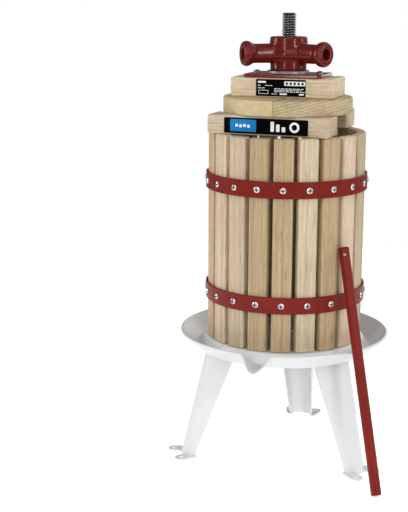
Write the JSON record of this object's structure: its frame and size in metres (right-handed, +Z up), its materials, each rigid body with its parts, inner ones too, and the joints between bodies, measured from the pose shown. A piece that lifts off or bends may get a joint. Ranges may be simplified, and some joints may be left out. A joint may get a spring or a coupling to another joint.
{
  "type": "basket wine press",
  "caption": "Small spindle basket press: slatted wooden basket with red bands on a white footed juice tray, wooden pressing blocks, cast screw head and a loose lever bar.",
  "frame": {"origin": "on the floor, on the axis of the spindle, at the centre of the foot hole circle", "axes": "+Z up along the spindle, -Y towards the pouring spout, +X to the right when facing the spout side"},
  "size_m": [0.2896, 0.2947, 0.5585],
  "materials": {
    "white_powder_coat": "satin white powder coat over pressed sheet steel",
    "red_paint": "glossy oxide red enamel",
    "stave_wood": "planed pale oak, unsealed, each stave its own tone",
    "block_wood": "planed pale beech",
    "disc_wood": "planed ash with end grain on the rim",
    "spindle_steel": "dark oiled threaded steel",
    "zinc_steel": "bright zinc plating",
    "dark_screws": "dark oiled steel",
    "label_black": "printed adhesive film"
  },
  "bodies": {
    "base": {"tray": "white_powder_coat", "leg_front_right": "white_powder_coat", "leg_back": "white_powder_coat", "leg_front_left": "white_powder_coat", "leg_bolts": "zinc_steel", "leg_nuts": "zinc_steel", "spindle": "spindle_steel", "spindle_washers": "zinc_steel", "spindle_nuts": "zinc_steel"},
    "basket": {"stave_01": "stave_wood", "stave_02": "stave_wood", "stave_03": "stave_wood", "stave_04": "stave_wood", "stave_05": "stave_wood", "stave_06": "stave_wood", "stave_07": "stave_wood", "stave_08": "stave_wood", "stave_09": "stave_wood", "stave_10": "stave_wood", "stave_11": "stave_wood", "stave_12": "stave_wood", "stave_13": "stave_wood", "stave_14": "stave_wood", "stave_15": "stave_wood", "stave_16": "stave_wood", "stave_17": "stave_wood", "stave_18": "stave_wood", "stave_19": "stave_wood", "stave_20": "stave_wood", "upper_band": "red_paint", "lower_band": "red_paint", "upper_band_screws": "zinc_steel", "lower_band_screws": "zinc_steel"},
    "front_block": {"front_block": "block_wood", "front_label": "label_black"},
    "rear_block": {"rear_block": "block_wood"},
    "left_disc": {"half_disc_left": "disc_wood"},
    "right_disc": {"half_disc_right": "disc_wood"},
    "pressure_block": {"top_block": "block_wood", "pressure_plate": "red_paint", "plate_screws": "dark_screws", "top_label": "label_black"},
    "thrust_washer": {"thrust_washer": "zinc_steel"},
    "press_head": {"press_head": "red_paint"},
    "lever_bar": {"lever_bar": "red_paint"}
  },
  "joints": [
    {"name": "basket_lift", "type": "slide", "parent": "base", "child": "basket", "axis": [0, 0, 1], "range_m": [0, 0.42]},
    {"name": "front_block_slide", "type": "slide", "parent": "basket", "child": "front_block", "axis": [0, -1, 0], "range_m": [0, 0.12]},
    {"name": "rear_block_slide", "type": "slide", "parent": "basket", "child": "rear_block", "axis": [0, 1, 0], "range_m": [0, 0.12]},
    {"name": "left_disc_slide", "type": "slide", "parent": "basket", "child": "left_disc", "axis": [-1, 0, 0], "range_m": [0, 0.12]},
    {"name": "right_disc_slide", "type": "slide", "parent": "basket", "child": "right_disc", "axis": [1, 0, 0], "range_m": [0, 0.12]},
    {"name": "pressure_block_lift", "type": "slide", "parent": "basket", "child": "pressure_block", "axis": [0, 0, 1], "range_m": [0, 0.11]},
    {"name": "head_travel", "type": "slide", "parent": "pressure_block", "child": "thrust_washer", "axis": [0, 0, 1], "range_m": [0, 0.029]},
    {"name": "head_turn", "type": "hinge", "parent": "thrust_washer", "child": "press_head", "pos_m": [0, 0, 0.51], "axis": [0, 0, 1], "range_deg": [0, 3420]},
    {"name": "lever_slide", "type": "slide", "parent": "basket", "child": "lever_bar", "axis": [0.766, -0.6428, 0], "range_m": [0, 0.15]}
  ],
  "couplings": [
    {"joint": "head_travel", "follows": "head_turn", "m_per_rad": 0.00047746}
  ]
}
